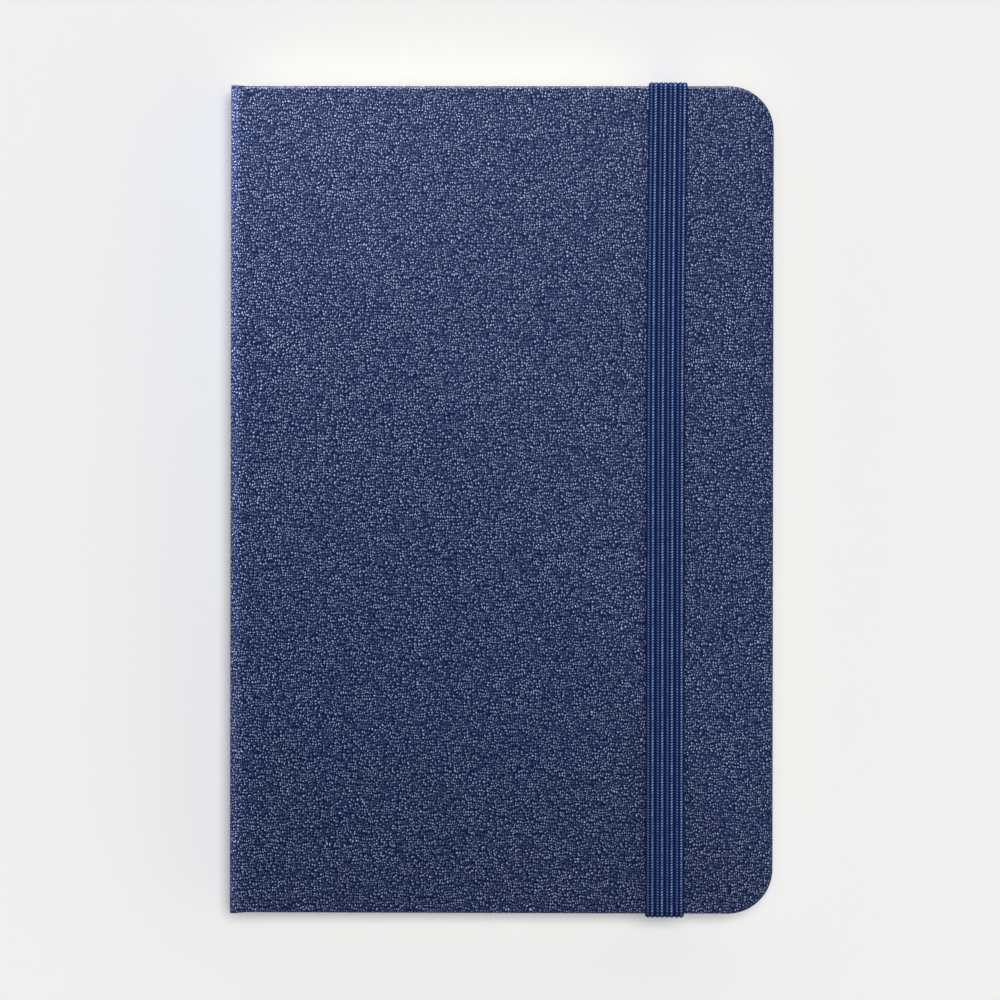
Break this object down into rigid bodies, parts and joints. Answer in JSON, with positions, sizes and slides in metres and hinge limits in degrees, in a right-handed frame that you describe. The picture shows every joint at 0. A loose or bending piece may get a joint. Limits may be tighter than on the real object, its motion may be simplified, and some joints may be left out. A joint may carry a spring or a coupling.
{
  "type": "pocket pilot logbook",
  "caption": "Pocket hard-cover logbook with a sewn page block, a square spine, rounded fore-edge corners and a ribbed elastic closure.",
  "frame": {"origin": "centre of the closed book's footprint, on the surface that its back cover rests on", "axes": "+X from the spine to the fore-edge, +Y from the tail to the head, +Z out of the front cover"},
  "size_m": [0.092, 0.1414, 0.0148],
  "materials": {
    "covering": "satin coated paper, navy, pebble grain",
    "board": "grey board",
    "endpaper": "matt cream paper",
    "pages": "matt cream paper",
    "thread": "waxed linen thread",
    "gauze": "open weave binding cloth",
    "elastic": "ribbed woven elastic, navy"
  },
  "bodies": {
    "back_cover": {"back_board": "board", "back_covering": "covering", "back_pastedown": "endpaper", "back_flyleaf": "endpaper", "signature_11": "pages", "link_stitches_11": "thread", "elastic_end_head": "elastic", "elastic_end_tail": "elastic"},
    "spine": {"spine_stiffener": "board", "spine_covering": "covering"},
    "front_cover": {"front_board": "board", "front_covering": "covering", "front_pastedown": "endpaper"},
    "middle_back_half": {"signature_06_back_half": "pages", "centre_stitches": "thread", "spine_gauze_back_half": "gauze"},
    "middle_front_half": {"signature_06_front_half": "pages", "spine_gauze_front_half": "gauze"},
    "section_07": {"signature_07": "pages", "link_stitches_07": "thread"},
    "section_08": {"signature_08": "pages", "link_stitches_08": "thread"},
    "section_09": {"signature_09": "pages", "link_stitches_09": "thread"},
    "section_10": {"signature_10": "pages", "link_stitches_10": "thread"},
    "section_05": {"signature_05": "pages", "link_stitches_05": "thread"},
    "section_04": {"signature_04": "pages", "link_stitches_04": "thread"},
    "section_03": {"signature_03": "pages", "link_stitches_03": "thread"},
    "section_02": {"signature_02": "pages", "link_stitches_02": "thread"},
    "section_01": {"signature_01": "pages", "link_stitches_01": "thread", "front_flyleaf": "endpaper"},
    "elastic": {"elastic_band": "elastic"}
  },
  "joints": [
    {"name": "middle_shift", "type": "slide", "parent": "back_cover", "child": "middle_back_half", "axis": [-1, 0, 0], "range_m": [0, 0.00715], "deforming": ["spine_gauze_back_half"]},
    {"name": "middle_fold", "type": "hinge", "parent": "middle_back_half", "child": "middle_front_half", "pos_m": [-0.04415, 0, 0.007], "axis": [0, -1, 0], "range_deg": [0, 180], "deforming": ["spine_gauze_front_half"]},
    {"name": "back_hinge", "type": "hinge", "parent": "back_cover", "child": "spine", "pos_m": [-0.0453, 0, 0.0007], "axis": [0, -1, 0], "range_deg": [0, 90]},
    {"name": "front_hinge", "type": "hinge", "parent": "spine", "child": "front_cover", "pos_m": [-0.0453, 0, 0.0133], "axis": [0, -1, 0], "range_deg": [0, 90]},
    {"name": "elastic_swing", "type": "hinge", "parent": "back_cover", "child": "elastic", "pos_m": [0.03317, 0, -0.00143], "axis": [0, 1, 0], "range_deg": [0, 90], "deforming": ["elastic_band"]},
    {"name": "shift_07", "type": "slide", "parent": "back_cover", "child": "section_07", "axis": [-1, 0, 0], "range_m": [0, 0.00572]},
    {"name": "shift_08", "type": "slide", "parent": "back_cover", "child": "section_08", "axis": [-1, 0, 0], "range_m": [0, 0.00429]},
    {"name": "shift_09", "type": "slide", "parent": "back_cover", "child": "section_09", "axis": [-1, 0, 0], "range_m": [0, 0.00286]},
    {"name": "shift_10", "type": "slide", "parent": "back_cover", "child": "section_10", "axis": [-1, 0, 0], "range_m": [0, 0.00143]},
    {"name": "shift_05", "type": "slide", "parent": "middle_front_half", "child": "section_05", "axis": [1, 0, 0], "range_m": [0, 0.00155]},
    {"name": "shift_04", "type": "slide", "parent": "middle_front_half", "child": "section_04", "axis": [1, 0, 0], "range_m": [0, 0.0031]},
    {"name": "shift_03", "type": "slide", "parent": "middle_front_half", "child": "section_03", "axis": [1, 0, 0], "range_m": [0, 0.00465]},
    {"name": "shift_02", "type": "slide", "parent": "middle_front_half", "child": "section_02", "axis": [1, 0, 0], "range_m": [0, 0.0062]},
    {"name": "shift_01", "type": "slide", "parent": "middle_front_half", "child": "section_01", "axis": [1, 0, 0], "range_m": [0, 0.00775]}
  ],
  "couplings": [
    {"joint": "middle_shift", "follows": "middle_fold", "m_per_rad": 0.002274},
    {"joint": "back_hinge", "follows": "middle_fold", "ratio": 0.5},
    {"joint": "front_hinge", "follows": "middle_fold", "ratio": 0.5},
    {"joint": "elastic_swing", "follows": "middle_fold", "ratio": 0.5},
    {"joint": "shift_07", "follows": "middle_fold", "m_per_rad": 0.0018192},
    {"joint": "shift_08", "follows": "middle_fold", "m_per_rad": 0.0013644},
    {"joint": "shift_09", "follows": "middle_fold", "m_per_rad": 0.0009096},
    {"joint": "shift_10", "follows": "middle_fold", "m_per_rad": 0.0004548},
    {"joint": "shift_05", "follows": "middle_fold", "m_per_rad": 0.000493},
    {"joint": "shift_04", "follows": "middle_fold", "m_per_rad": 0.000986},
    {"joint": "shift_03", "follows": "middle_fold", "m_per_rad": 0.001479},
    {"joint": "shift_02", "follows": "middle_fold", "m_per_rad": 0.001972},
    {"joint": "shift_01", "follows": "middle_fold", "m_per_rad": 0.002465}
  ]
}
